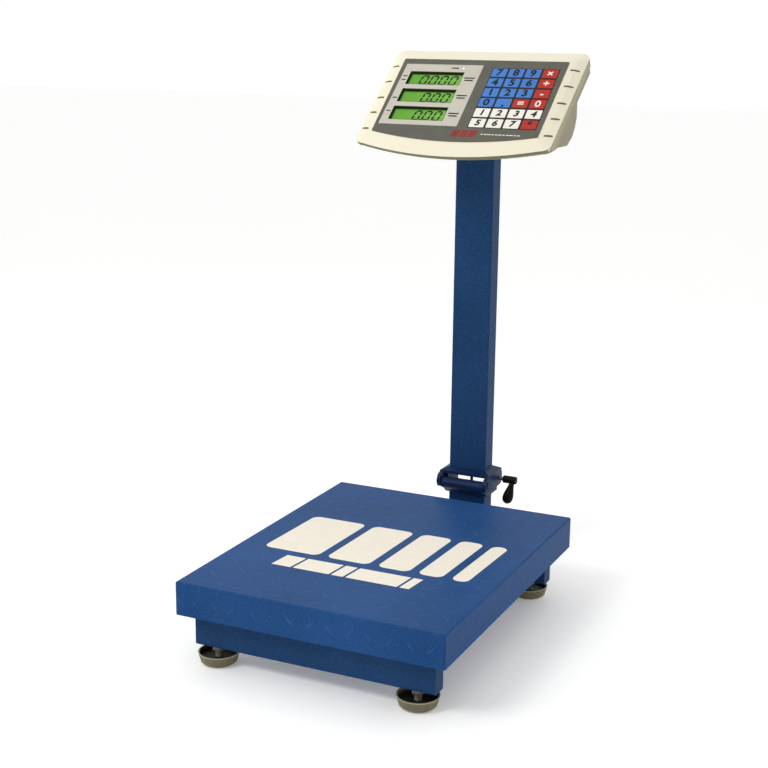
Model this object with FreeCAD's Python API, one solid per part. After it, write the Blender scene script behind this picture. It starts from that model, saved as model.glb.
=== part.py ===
import FreeCAD, Part
import math
import os

# Platform shipping scale: a 400 by 500 mm deck on a load cell, a base with four levelling feet,
# a folding column with a clamp crank, and a tilted display head with a keypad.
# Frame: X to the right, Y from the front edge of the deck towards the column, Z up from the floor.
# The origin is on the floor, at the middle of the whole object's outline.

os.makedirs("parts", exist_ok=True)

Vector = FreeCAD.Vector

# ---------------------------------------------------------------- driving dimensions, in millimetres
deck_width = 400.0
deck_depth = 500.0
deck_top = 120.0
skirt_depth = 48.0
pan_sheet = 2.5
pan_bend_radius = 3.0
rear_reach = 404.0                      # from the deck's centre back to the rearmost point of the head
deck_y = (deck_depth / 2 - rear_reach) / 2
running_gap = 0.3                       # air between pieces that move past each other
shaft_gap = 0.05                        # radial clearance of a shaft in its bore

beam_length = 360.0
beam_thickness = 25.0
beam_height = 50.0
beam_bottom = 25.0
beam_wall = 2.5
front_beam_y = deck_y - 219.0
rear_beam_y = deck_y + 204.0

spine_width = 60.0
spine_bottom = 27.0
spine_height = 30.0
spine_wall = 3.0

cell_length = 150.0
cell_width = 38.0
cell_height = 25.0
cell_bottom = 63.0
cell_top = cell_bottom + cell_height
cell_bolt_radius = 4.0
cell_bolt_inset = 14.0
cell_bolt_pitch = 20.0
cell_pad_length = 46.0

pad_thickness = 2.5
pad_radius = 12.0
spider_tube = 25.0
spider_top = deck_top - pan_sheet - pad_thickness
spider_bottom = spider_top - spider_tube
spider_half_span = 200.0                # from the deck's centre to the middle of each arm
spider_arm_length = 340.0
spider_spine_width = 40.0

foot_rim_radius = 29.0
foot_base_radius = 21.0
foot_height = 16.5
foot_well = 9.0                         # height of the filled floor inside the cup
foot_wall = 1.8
stud_radius = 5.0
stud_top = 60.0
foot_x = 150.5
nut_across_flats = 17.0
nut_height = 6.0

post_y = deck_y + 329.0
post_width = 63.0
post_depth = 35.0
post_wall = 2.0
post_corner = 3.0
lower_post_top = deck_top - 10.0

pivot_y = deck_y + 298.0
pivot_z = deck_top + 14.0
knuckle_radius = 9.0
knuckle_drop = 4.5                      # the front bar's middle lies this far below the pin
ring_radius = 12.0
pin_radius = 3.0
pin_head_radius = 6.0
pin_head_height = 1.2
ear_inside = 37.0
ear_outside = 43.0
cheek_inside = 33.0
cheek_start = pivot_y + 12.6
cheek_end = pivot_y + 58.0
stop_half = 1.5
stop_y = (pivot_y + 33.2, pivot_y + 39.0)
lug_top = deck_top + 24.0
hood_edge = deck_top + 28.5
yoke_seat = deck_top + 34.0
yoke_rear = deck_y + 361.0
spigot_height = 18.0
spigot_gap = 0.2

clamp_y = deck_y + 350.0
clamp_z = deck_top + 12.0
clamp_bolt_radius = 3.5
crank_hub_radius = 6.3
crank_hub_start = 50.0
crank_hub_end = 72.5
crank_length = 40.0
crank_lean = 21.0                       # degrees that the grip hangs forward of straight down
crank_inward = 8.0                      # degrees that the grip hangs towards the column

pole_top = deck_top + 556.0
flange_thickness = 4.0
flange_width = 110.0
flange_depth = 60.0
head_floor = pole_top + flange_thickness

head_tilt = 39.3                        # degrees of the key panel above the horizontal
panel_top_y = deck_y + 347.1
panel_top_z = deck_top + 686.0
panel_sheet = 0.8
panel_half_top = 136.5
panel_half_bottom = 134.0
panel_corner = -166.0
panel_bow = -182.0
shell_wall = 2.5
rim_bottom = (209.0, 5.0)               # down the panel and behind it, at the middle of the lower rim
rim_top = (-31.3, 10.2)                # the same for the upper rim
rim_half_top = 160.5
rim_half_bottom = 157.0
rim_corner_rise = 21.0                  # the lower corners stand this far above the bow's lowest point
rim_straight = -5.0                     # the rim's wall runs straight to this level
split_level = -14.0                     # the joint between the front and rear shells
flange_level = -26.0                    # the back of the rear shell's flange
board_margin = 8.0
rear_half_width = 135.0
rear_wall_y = deck_y + 402.0
rear_wall_top = deck_top + 668.0
rear_wall_foot = deck_top + 600.0

key_width = 24.4
key_height = 19.0
key_pitch_x = 27.3
key_pitch_y = 22.4
key_first_x = 31.7
key_first_y = -28.2
key_gap = 0.3
key_proud = 0.35
key_flange = 0.9
key_flange_thickness = 0.7
switch_dome_top = -5.3

window_width = 89.2
window_height = 28.4
window_pitch = 39.9
window_x = -70.8
window_first_y = -44.5
lcd_border = 3.0
lcd_thickness = 5.0
board_thickness = 1.6

screw_head_radius = 4.0
screw_head_height = 2.6
screw_radius = 2.0
screw_length = 14.0

rocker_width = 12.0
rocker_half_height = 8.2
rocker_pin_radius = 1.5
rocker_rest_angle = -7.0
rocker_x = 96.0
rocker_z = deck_top + 625.0
socket_x = 62.0
battery_x = -60.0
battery_width = 97.0
battery_depth = 33.0
battery_height = 62.0
battery_floor = deck_top + 601.0

KEY_NAMES = (
    ("key_7", "key_8", "key_9", "key_clear"),
    ("key_4", "key_5", "key_6", "key_add"),
    ("key_1", "key_2", "key_3", "key_tare"),
    ("key_0", "key_point", "key_store", "key_zero"),
    ("key_m1", "key_m2", "key_m3", "key_m4"),
    ("key_m5", "key_m6", "key_m7", "key_light"),
)


# ---------------------------------------------------------------- helpers
def save(node, shape):
    """Write one node's solid or group of solids."""
    shape.exportStep("parts/" + node + ".step")


def block(x_range, y_range, z_range):
    """A box between two X, two Y and two Z values."""
    size = (x_range[1] - x_range[0], y_range[1] - y_range[0], z_range[1] - z_range[0])
    return Part.makeBox(size[0], size[1], size[2], Vector(x_range[0], y_range[0], z_range[0]))


def around(centre, size):
    """The range of a given size about a centre."""
    return (centre - size / 2, centre + size / 2)


def rod_x(radius, x_range, y, z):
    """A cylinder along X."""
    return Part.makeCylinder(radius, x_range[1] - x_range[0], Vector(x_range[0], y, z), Vector(1, 0, 0))


def rod_y(radius, y_range, x, z):
    """A cylinder along Y."""
    return Part.makeCylinder(radius, y_range[1] - y_range[0], Vector(x, y_range[0], z), Vector(0, 1, 0))


def rod_z(radius, z_range, x, y):
    """A cylinder along Z."""
    return Part.makeCylinder(radius, z_range[1] - z_range[0], Vector(x, y, z_range[0]))


def prism_x(outline, x_range):
    """A closed outline of (y, z) points, extruded along X."""
    corners = [Vector(x_range[0], y, z) for y, z in outline]
    corners.append(corners[0])
    return Part.Face(Part.makePolygon(corners)).extrude(Vector(x_range[1] - x_range[0], 0, 0))


def straight_edges(shape, direction):
    """The straight edges that run along a direction."""
    found = []
    for edge in shape.Edges:
        if isinstance(edge.Curve, (Part.Line, Part.LineSegment)):
            if abs(edge.tangentAt(edge.FirstParameter).dot(direction)) > 0.999:
                found.append(edge)
    return found


def rounded(shape, direction, radius):
    """A shape with the straight edges along one direction rounded."""
    return shape.makeFillet(radius, straight_edges(shape, direction))


def upright_tube(centre_y, z_range, wall):
    """A rectangular column tube, open at both ends."""
    outer = rounded(block(around(0, post_width), around(centre_y, post_depth), z_range), Vector(0, 0, 1), post_corner)
    inner = block(around(0, post_width - 2 * wall), around(centre_y, post_depth - 2 * wall), z_range)
    return outer.cut(rounded(inner, Vector(0, 0, 1), post_corner - wall))


def spigot(z_range):
    """A hollow plug that fits inside the column tube."""
    width = post_width - 2 * post_wall - 2 * spigot_gap
    depth = post_depth - 2 * post_wall - 2 * spigot_gap
    outer = rounded(block(around(0, width), around(post_y, depth), z_range), Vector(0, 0, 1), post_corner - post_wall)
    return outer.cut(block(around(0, width - 6), around(post_y, depth - 6), z_range))


def hex_nut(across_flats, z_range, x, y, bore):
    """A plain hexagon nut standing on Z."""
    corners = []
    for step in range(7):
        angle = math.radians(60 * step)
        reach = across_flats / 2 / math.cos(math.radians(30))
        corners.append(Vector(x + reach * math.cos(angle), y + reach * math.sin(angle), z_range[0]))
    body = Part.Face(Part.makePolygon(corners)).extrude(Vector(0, 0, z_range[1] - z_range[0]))
    return body.cut(rod_z(bore, z_range, x, y))


def head_point(down, depth):
    """The (y, z) of a point on the head, by its way down the panel and its depth behind it."""
    tilt = math.radians(head_tilt)
    y = panel_top_y - down * math.cos(tilt) + depth * math.sin(tilt)
    z = panel_top_z - down * math.sin(tilt) - depth * math.cos(tilt)
    return (y, z)


def shell_tilt():
    """The slope of the shell's rim, a little flatter than the panel."""
    low_y, low_z = head_point(*rim_bottom)
    high_y, high_z = head_point(*rim_top)
    return math.degrees(math.atan2(high_z - low_z, high_y - low_y))


def rim_length():
    """The distance from the lowest to the highest point of the rim."""
    low_y, low_z = head_point(*rim_bottom)
    high_y, high_z = head_point(*rim_top)
    return math.hypot(high_y - low_y, high_z - low_z)


def shell_point(up, out):
    """The (y, z) of a point given up the rim's plane and out of it."""
    slope = math.radians(shell_tilt())
    low_y, low_z = head_point(*rim_bottom)
    y = low_y + up * math.cos(slope) - out * math.sin(slope)
    z = low_z + up * math.sin(slope) + out * math.cos(slope)
    return (y, z)


def placed_on(shape, angle, y, z):
    """A shape made flat, turned up about X and moved to a point."""
    placed = shape.copy()
    placed.rotate(Vector(0, 0, 0), Vector(1, 0, 0), angle)
    placed.translate(Vector(0, y, z))
    return placed


def tilted(shape):
    """Carry a shape from the flat panel frame (Z out of the panel, Y up it) into place."""
    return placed_on(shape, head_tilt, panel_top_y, panel_top_z)


def on_rim(shape):
    """Carry a shape from the flat rim frame (Z out of the rim, Y up from the bow) into place."""
    low_y, low_z = head_point(*rim_bottom)
    return placed_on(shape, shell_tilt(), low_y, low_z)


def bowed_wire(half_top, half_bottom, top, corner, bow, radius, level):
    """A closed outline: straight top and sides, rounded corners and a bottom that bows outwards."""
    cut = radius * (1 - math.sqrt(0.5))
    z = level
    points = {
        "top_left": Vector(-half_top + radius, top, z),
        "top_right": Vector(half_top - radius, top, z),
        "right_high": Vector(half_top, top - radius, z),
        "right_low": Vector(half_bottom, corner + radius, z),
        "bottom_right": Vector(half_bottom - radius, corner, z),
        "bottom": Vector(0, bow, z),
        "bottom_left": Vector(-half_bottom + radius, corner, z),
        "left_low": Vector(-half_bottom, corner + radius, z),
        "left_high": Vector(-half_top, top - radius, z),
    }
    edges = [
        Part.makeLine(points["top_left"], points["top_right"]),
        Part.Arc(points["top_right"], Vector(half_top - cut, top - cut, z), points["right_high"]).toShape(),
        Part.makeLine(points["right_high"], points["right_low"]),
        Part.Arc(points["right_low"], Vector(half_bottom - cut, corner + cut, z), points["bottom_right"]).toShape(),
        Part.Arc(points["bottom_right"], points["bottom"], points["bottom_left"]).toShape(),
        Part.Arc(points["bottom_left"], Vector(-half_bottom + cut, corner + cut, z), points["left_low"]).toShape(),
        Part.makeLine(points["left_low"], points["left_high"]),
        Part.Arc(points["left_high"], Vector(-half_top + cut, top - cut, z), points["top_left"]).toShape(),
    ]
    return Part.Wire(edges)


def rim_wire(inset, lower_inset, level):
    """An outline parallel to the rim, drawn in by one amount all round and by another below."""
    wire = bowed_wire(
        rim_half_top - inset,
        rim_half_bottom - inset,
        rim_length() - inset,
        rim_corner_rise + lower_inset,
        lower_inset,
        14 - 0.5 * inset,
        level,
    )
    return on_rim(wire)


def plateau_wire(inset, level):
    """The flat field of the front shell that carries the panel."""
    return tilted(bowed_wire(138.5 - inset, 136 - inset, 2 - inset, -168 + inset, -184 + inset, 5 - inset, level))


def shoulder_wire(inset, level):
    """The crease between the gentle and the steep part of the front shell's border."""
    return tilted(bowed_wire(147.5 - inset, 145.5 - inset, 9 - inset, -177 + inset, -194 + inset, 9 - inset, level))


def loft(*wires):
    """A solid with straight sides through a row of outlines."""
    return Part.makeLoft(list(wires), True, True)


def upward(wire, height):
    """A prism on a wire."""
    return Part.Face(wire).extrude(Vector(0, 0, height))


def key_centre(row, column):
    """The middle of a key on the flat panel."""
    return (key_first_x + column * key_pitch_x, key_first_y - row * key_pitch_y)


def panel_cutouts(z_range):
    """The holes for the keys and the three display windows."""
    holes = []
    for row in range(len(KEY_NAMES)):
        for column in range(len(KEY_NAMES[row])):
            x, y = key_centre(row, column)
            holes.append(block(around(x, key_width), around(y, key_height), z_range))
    for line in range(3):
        y = window_first_y - line * window_pitch
        holes.append(block(around(window_x, window_width), around(y, window_height), z_range))
    return Part.makeCompound(holes)


def pan_screw(x, y, z, direction):
    """A pan-head screw whose head sits at a point, with its shank along a direction."""
    head = Part.makeCylinder(screw_head_radius, screw_head_height, Vector(x, y, z), direction * -1)
    head = head.makeFillet(screw_head_height * 0.4, [head.Edges[0]])
    shank = Part.makeCylinder(screw_radius, screw_length, Vector(x, y, z), direction)
    return head.fuse(shank)


# ---------------------------------------------------------------- base frame
def cross_beam(centre_y):
    """A closed rectangular tube across the base, with a hole for each foot's stud."""
    outer = block(around(0, beam_length), around(centre_y, beam_thickness), (beam_bottom, beam_bottom + beam_height))
    outer = rounded(outer, Vector(1, 0, 0), 2.5)
    inner = block(
        around(0, beam_length - 2 * beam_wall),
        around(centre_y, beam_thickness - 2 * beam_wall),
        (beam_bottom + beam_wall, beam_bottom + beam_height - beam_wall),
    )
    beam = outer.cut(inner)
    for side in (-1, 1):
        beam = beam.cut(rod_z(stud_radius + shaft_gap, (beam_bottom, beam_bottom + beam_wall), side * foot_x, centre_y))
    return beam


def spine_tube(y_range):
    """A flat tube that runs along the middle of the base."""
    outer = block(around(0, spine_width), y_range, (spine_bottom, spine_bottom + spine_height))
    outer = rounded(outer, Vector(0, 1, 0), 4)
    inner = block(
        around(0, spine_width - 2 * spine_wall),
        (y_range[0] + spine_wall, y_range[1] - spine_wall),
        (spine_bottom + spine_wall, spine_bottom + spine_height - spine_wall),
    )
    return outer.cut(inner)


def bolt_places(end):
    """The two bolt positions at one end of the load cell: +1 at the rear, -1 at the front."""
    y = deck_y + end * (cell_length / 2 - cell_bolt_inset)
    return ((0.0, y), (0.0, y - end * cell_bolt_pitch))


def base_spine():
    """The middle tube with the raised pad that holds the fixed end of the load cell."""
    tube = spine_tube((front_beam_y + beam_thickness / 2, rear_beam_y - beam_thickness / 2))
    pad_end = deck_y + cell_length / 2
    pad = block(around(0, cell_width), (pad_end - cell_pad_length, pad_end), (spine_bottom + spine_height, cell_bottom))
    spine = tube.fuse(pad)
    for x, y in bolt_places(1):
        spine = spine.cut(rod_z(cell_bolt_radius, (spine_bottom + spine_height - spine_wall, cell_bottom), x, y))
    return spine


def load_cell():
    """A bending-beam load cell: a bar with two linked round holes that make it bend evenly."""
    bar = block(around(0, cell_width), around(deck_y, cell_length), (cell_bottom, cell_top))
    middle = (cell_bottom + cell_top) / 2
    hole_radius = cell_height * 0.36
    hole_offset = cell_height * 0.5
    for side in (-1, 1):
        bar = bar.cut(rod_x(hole_radius, around(0, cell_width), deck_y + side * hole_offset, middle))
    bar = bar.cut(block(around(0, cell_width), around(deck_y, 2 * hole_offset), around(middle, hole_radius)))
    for end in (-1, 1):
        for x, y in bolt_places(end):
            bar = bar.cut(rod_z(cell_bolt_radius + shaft_gap, (cell_bottom, cell_top), x, y))
    return bar


def cell_bolts(end, head_z, tip_z):
    """The two cap screws at one end of the load cell."""
    bolts = []
    upward_sign = 1 if tip_z > head_z else -1
    head_height = 5.0
    for x, y in bolt_places(end):
        head_range = sorted((head_z - upward_sign * head_height, head_z))
        shank_range = sorted((head_z, tip_z))
        bolts.append(rod_z(6.5, head_range, x, y).fuse(rod_z(cell_bolt_radius, shank_range, x, y)))
    return Part.makeCompound(bolts)


def foot_nuts():
    """The four welded nuts under the beams."""
    nuts = []
    for y in (front_beam_y, rear_beam_y):
        for side in (-1, 1):
            z_range = (beam_bottom - nut_height, beam_bottom)
            nuts.append(hex_nut(nut_across_flats, z_range, side * foot_x, y, stud_radius + shaft_gap))
    return Part.makeCompound(nuts)


def foot(x, y):
    """A levelling foot: a shallow metal cup riveted to a threaded stud."""
    outline = [
        Vector(0, 0, 0),
        Vector(foot_base_radius, 0, 0),
        Vector(foot_base_radius + 4.5, 0, 3.5),
        Vector(foot_rim_radius, 0, foot_height),
        Vector(foot_rim_radius - foot_wall, 0, foot_height),
        Vector(foot_rim_radius - 2 * foot_wall, 0, foot_well),
        Vector(stud_radius, 0, foot_well),
        Vector(stud_radius, 0, stud_top - 1.5),
        Vector(stud_radius - 1.5, 0, stud_top),
        Vector(0, 0, stud_top),
        Vector(0, 0, 0),
    ]
    body = Part.Face(Part.makePolygon(outline)).revolve(Vector(0, 0, 0), Vector(0, 0, 1), 360)
    body.translate(Vector(x, y, 0))
    return body


# ---------------------------------------------------------------- deck
def platform_pan():
    """The folded tray that forms the weighing deck and its skirt."""
    z_range = (deck_top - skirt_depth, deck_top)
    pan = block(around(0, deck_width), around(deck_y, deck_depth), z_range)
    edges = straight_edges(pan, Vector(0, 0, 1))
    for edge in straight_edges(pan, Vector(1, 0, 0)) + straight_edges(pan, Vector(0, 1, 0)):
        if edge.CenterOfMass.z > deck_top - 1:
            edges.append(edge)
    pan = pan.makeFillet(pan_bend_radius, edges)
    hollow = block(
        around(0, deck_width - 2 * pan_sheet),
        around(deck_y, deck_depth - 2 * pan_sheet),
        (z_range[0], deck_top - pan_sheet),
    )
    return pan.cut(hollow)


def spider_arm(end):
    """A square tube across the deck, near its front or rear edge."""
    centre_y = deck_y + end * spider_half_span
    outer = block(around(0, spider_arm_length), around(centre_y, spider_tube), (spider_bottom, spider_top))
    inner = block(
        around(0, spider_arm_length),
        around(centre_y, spider_tube - 2 * pan_sheet),
        (spider_bottom + pan_sheet, spider_top - pan_sheet),
    )
    return rounded(outer, Vector(1, 0, 0), 2).cut(inner)


def spider_spine():
    """The tube that joins the two arms and sits on the free end of the load cell."""
    reach = 2 * spider_half_span - spider_tube
    outer = block(around(0, spider_spine_width), around(deck_y, reach), (spider_bottom, spider_top))
    inner = block(
        around(0, spider_spine_width - 2 * pan_sheet),
        around(deck_y, reach - 2 * pan_sheet),
        (spider_bottom + pan_sheet, spider_top - pan_sheet),
    )
    pad_start = deck_y - cell_length / 2
    pad = block(around(0, cell_width), (pad_start, pad_start + cell_pad_length), (cell_top, spider_bottom))
    spine = rounded(outer, Vector(0, 1, 0), 2).cut(inner).fuse(pad)
    for x, y in bolt_places(-1):
        spine = spine.cut(rod_z(cell_bolt_radius, (cell_top, spider_bottom + pan_sheet), x, y))
    return spine


def pan_pads():
    """The four rubber pads between the arms and the pan."""
    pads = []
    for end in (-1, 1):
        for side in (-1, 1):
            z_range = (spider_top, deck_top - pan_sheet)
            pads.append(rod_z(pad_radius, z_range, side * foot_x, deck_y + end * spider_half_span))
    return Part.makeCompound(pads)


# ---------------------------------------------------------------- column hinge
def clamp_slot(x_range):
    """The open slot that the clamp bolt drops into as the column stands up."""
    y_range = (clamp_y - 6.6, clamp_y + 4.0)
    return block(x_range, y_range, (clamp_z - clamp_bolt_radius - running_gap, lug_top))


def hinge_base():
    """The casting on the lower post: front bar, base plate, two side cheeks and a middle stop."""
    reach = ear_inside - running_gap
    x_range = (-reach, reach)
    front = post_y - post_depth / 2
    bar_z = pivot_z - knuckle_drop
    chin = [
        (pivot_y, bar_z - knuckle_radius + 0.5),
        (front, lower_post_top),
        (cheek_end, lower_post_top),
        (cheek_end, deck_top),
        (front, deck_top),
        (pivot_y + 7, bar_z + 2),
    ]
    body = prism_x(chin, x_range).fuse(rod_x(knuckle_radius, x_range, pivot_y, bar_z))
    for side in (-1, 1):
        cheek_x = sorted((side * cheek_inside, side * reach))
        body = body.fuse(block(cheek_x, (cheek_start, cheek_end), (deck_top - 1, lug_top)))
    body = body.cut(clamp_slot((-reach - 1, reach + 1)))
    body = body.fuse(block((-stop_half, stop_half), stop_y, (deck_top - 1, lug_top)))
    body = body.cut(rod_x(pin_radius + 0.01, (-reach - 1, reach + 1), pivot_y, pivot_z))
    plug = spigot((lower_post_top - spigot_height, lower_post_top))
    return body.fuse(plug).removeSplitter()


def hinge_pin():
    """The pivot pin, with a flat head at each end."""
    end = ear_outside + running_gap
    pin = rod_x(pin_radius, (-end, end), pivot_y, pivot_z)
    for side in (-1, 1):
        head_range = sorted((side * end, side * (end + pin_head_height)))
        pin = pin.fuse(rod_x(pin_head_radius, head_range, pivot_y, pivot_z))
    return pin.removeSplitter()


def hood_wire(half_width, y_range, level):
    """A rectangle seen from above, one level of the hood."""
    corners = [
        Vector(-half_width, y_range[0], level),
        Vector(half_width, y_range[0], level),
        Vector(half_width, y_range[1], level),
        Vector(-half_width, y_range[1], level),
    ]
    return Part.makePolygon(corners + [corners[0]])


def hinge_yoke():
    """The casting under the column: a sloping hood over the hinge and a clamping ear on each side."""
    roof_floor = lug_top + running_gap
    hood_y = (pivot_y + 2.5, yoke_rear - 3)
    roof = loft(hood_wire(ear_outside, hood_y, roof_floor), hood_wire(ear_outside, hood_y, hood_edge))
    slope_y = (post_y - post_depth / 2 - 0.5, post_y + post_depth / 2 + 0.5)
    slope = loft(hood_wire(ear_outside, hood_y, hood_edge), hood_wire(post_width / 2 + 0.5, slope_y, yoke_seat))
    yoke = roof.fuse(slope)
    ear_outline = [
        (pivot_y, pivot_z + ring_radius),
        (pivot_y + 2.5, hood_edge),
        (yoke_rear - 5, hood_edge),
        (yoke_rear, hood_edge - 8),
        (yoke_rear, pivot_z - 4),
        (yoke_rear - 5, pivot_z - 11.5),
        (pivot_y + 18, pivot_z - 15),
        (pivot_y, pivot_z - ring_radius),
    ]
    for side in (-1, 1):
        x_range = sorted((side * ear_inside, side * ear_outside))
        ear = prism_x(ear_outline, x_range).fuse(rod_x(ring_radius, x_range, pivot_y, pivot_z))
        yoke = yoke.fuse(ear)
    boss = rod_x(8.0, (-ear_outside - 6, -ear_outside), clamp_y, clamp_z)
    yoke = yoke.fuse(boss)
    whole = (-ear_outside - 7, ear_outside + 1)
    yoke = yoke.cut(rod_x(pin_radius + shaft_gap, whole, pivot_y, pivot_z))
    yoke = yoke.cut(rod_x(clamp_bolt_radius + shaft_gap, whole, clamp_y, clamp_z))
    return yoke.fuse(spigot((yoke_seat, yoke_seat + spigot_height))).removeSplitter()


def crank_bolt():
    """The clamp bolt through both ears."""
    return rod_x(clamp_bolt_radius, (-ear_outside - 8, crank_hub_start + 10), clamp_y, clamp_z)


def crank_handle():
    """The clamp lever: a hub along the bolt and a bulged grip that hangs from its outer end."""
    hub = rod_x(crank_hub_radius, (crank_hub_start, crank_hub_end), clamp_y, clamp_z)
    hub = hub.makeFillet(1.2, [edge for edge in hub.Edges if edge.Closed])
    hub = hub.cut(rod_x(clamp_bolt_radius + 0.01, (crank_hub_start, crank_hub_start + 10), clamp_y, clamp_z))
    neck = crank_hub_radius * 0.75
    side = Part.BSplineCurve()
    side.interpolate(
        [
            Vector(neck, 0, 0),
            Vector(neck, 0, -crank_length * 0.25),
            Vector(crank_hub_radius * 1.3, 0, -crank_length * 0.6),
            Vector(crank_hub_radius * 1.2, 0, -crank_length * 0.88),
            Vector(0, 0, -crank_length),
        ]
    )
    top = Part.makeLine(Vector(0, 0, 0), Vector(neck, 0, 0))
    axis = Part.makeLine(Vector(0, 0, -crank_length), Vector(0, 0, 0))
    face = Part.Face(Part.Wire([top, side.toShape(), axis]))
    grip = face.revolve(Vector(0, 0, 0), Vector(0, 0, 1), 360)
    grip.rotate(Vector(0, 0, 0), Vector(0, 1, 0), crank_inward)
    grip.rotate(Vector(0, 0, 0), Vector(1, 0, 0), -crank_lean)
    grip.translate(Vector(crank_hub_end - crank_hub_radius, clamp_y, clamp_z))
    return hub.fuse(grip)


# ---------------------------------------------------------------- head mount and shells
def mount_screw_places():
    """The four screws that hold the head on the flange."""
    places = []
    for side in (-1, 1):
        for end in (-1, 1):
            places.append((side * (flange_width / 2 - 10), post_y + end * (flange_depth / 2 - 8)))
    return places


def case_screw_places():
    """The four screws that hold the rear shell."""
    places = []
    for side in (-1, 1):
        for height in (rear_wall_foot + 8, rear_wall_top - 12):
            places.append((side * (rear_half_width - 14), height))
    return places


def head_mount():
    """The flange on top of the column, with a plug that goes into the tube."""
    plate = block(around(0, flange_width), around(post_y, flange_depth), (pole_top, head_floor))
    plate = rounded(plate, Vector(0, 0, 1), 6)
    for x, y in mount_screw_places():
        plate = plate.cut(rod_z(screw_radius + 0.1, (pole_top, head_floor), x, y))
    return plate.fuse(spigot((pole_top - 2 * spigot_height, pole_top))).removeSplitter()


def front_shell():
    """The bevelled front shell: a flat field for the panel, a sloping border and a rear lip."""
    seat = -panel_sheet
    hollow_top = seat - shell_wall
    lip_level = split_level + shell_wall
    shoulder = seat - 1.8
    outer = loft(rim_wire(0, 0, 0), shoulder_wire(0, shoulder), plateau_wire(0, seat))
    outer = outer.fuse(loft(rim_wire(0, 0, rim_straight), rim_wire(0, 0, 0)))
    outer = outer.fuse(loft(rim_wire(0.5, 8.5, split_level), rim_wire(0, 0, rim_straight)))
    inner_rim = rim_wire(shell_wall, shell_wall, -2)
    inner_shoulder = shoulder_wire(shell_wall, shoulder - shell_wall)
    hollow = loft(inner_rim, inner_shoulder, plateau_wire(shell_wall, hollow_top))
    hollow = hollow.fuse(loft(rim_wire(shell_wall + 0.5, shell_wall + 6.5, lip_level), inner_rim))
    mouth_half = rear_half_width - shell_wall
    mouth = block((-mouth_half, mouth_half), (38, rim_length() - 12), (split_level, lip_level))
    shell = outer.cut(hollow).cut(on_rim(mouth))
    return shell.cut(tilted(panel_cutouts((hollow_top, seat))))


def face_panel():
    """The printed panel sheet, cut out for the keys and the display windows."""
    wire = bowed_wire(panel_half_top, panel_half_bottom, 0, panel_corner, panel_bow, 2.5, -panel_sheet)
    return upward(wire, panel_sheet).cut(panel_cutouts((-panel_sheet, 0)))


def rear_outline(wall, level):
    """The side outline of the rear shell's wedge, or of its hollow when a wall is given."""
    return [
        shell_point(rim_length() - 11 - wall, level),
        (rear_wall_y - wall, rear_wall_top - wall),
        (rear_wall_y - wall, rear_wall_foot + 0.2 * wall),
        (rear_wall_y - 7 - wall, rear_wall_foot - 16 + 0.2 * wall),
        (rear_wall_y - 19 - 0.7 * wall, rear_wall_foot - 30 + 0.5 * wall),
        (rear_wall_y - 38 - 0.3 * wall, head_floor + wall),
        (deck_y + 247 + 0.4 * wall, head_floor + wall),
        shell_point(38 + wall, level),
    ]


def battery_shelf():
    """The shelf and its three ribs under the battery."""
    y_range = (rear_wall_y - shell_wall - battery_depth - 2, rear_wall_y - shell_wall)
    x_range = around(battery_x, battery_width + 6)
    shelf = block(x_range, y_range, (battery_floor - shell_wall, battery_floor))
    for x in (x_range[0] + 2, battery_x, x_range[1] - 2):
        rib_floor = head_floor + 1
        rib = block(around(x, 2), (y_range[0], rear_wall_y - 30), (rib_floor, battery_floor - shell_wall))
        shelf = shelf.fuse(rib)
    return shelf


def rear_shell():
    """The wedge-shaped rear shell, with bosses, a battery hatch and holes for switch and socket."""
    overlap = 6.0
    flange = loft(rim_wire(2.5, 26, flange_level), rim_wire(1.5, 10, split_level))
    wedge = prism_x(rear_outline(0, flange_level + overlap), (-rear_half_width, rear_half_width))
    back_edges = []
    for edge in wedge.Edges:
        on_side = abs(abs(edge.CenterOfMass.x) - rear_half_width) < 0.1
        if on_side and edge.CenterOfMass.y > rear_wall_y - 36 and edge.CenterOfMass.z < rear_wall_top:
            back_edges.append(edge)
    wedge = wedge.makeFillet(6, back_edges)
    inner_half = rear_half_width - shell_wall
    hollow_half = rim_half_bottom - 5
    hollow = prism_x(rear_outline(shell_wall, split_level + 1), (-inner_half, inner_half))
    pocket = block((-hollow_half, hollow_half), (40, rim_length() - 13), (flange_level + shell_wall, split_level + 1))
    shell = flange.fuse(wedge).cut(hollow).cut(on_rim(pocket))
    inner_face = rear_wall_y - shell_wall
    for x, z in case_screw_places():
        shell = shell.fuse(rod_y(6, (rear_wall_y - 18, inner_face), x, z))
    for x, y in mount_screw_places():
        shell = shell.fuse(rod_z(6, (head_floor + 1, head_floor + 16), x, y))
    shell = shell.fuse(battery_shelf())
    for x, z in case_screw_places():
        shell = shell.cut(rod_y(screw_radius + 0.05, (rear_wall_y - 17, rear_wall_y), x, z))
        shell = shell.cut(rod_y(screw_head_radius + 0.3, (rear_wall_y - screw_head_height, rear_wall_y), x, z))
    for x, y in mount_screw_places():
        shell = shell.cut(rod_z(screw_radius + 0.05, (head_floor, head_floor + 15), x, y))
    through = (inner_face - 0.5, rear_wall_y + 1)
    shell = shell.cut(hatch_block(0.2, through))
    shell = shell.cut(rod_y(7.1, through, socket_x, rocker_z))
    housing_hole = block(around(rocker_x, rocker_width + 6.2), through, around(rocker_z, 2 * rocker_half_height + 6.2))
    return shell.cut(housing_hole).removeSplitter()


def hatch_block(gap, y_range):
    """The battery hatch, or the hole for it when a gap is given."""
    width = battery_width + 8 + 2 * gap
    z_range = (battery_floor - gap, battery_floor + battery_height + gap)
    return block(around(battery_x, width), y_range, z_range)


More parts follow.
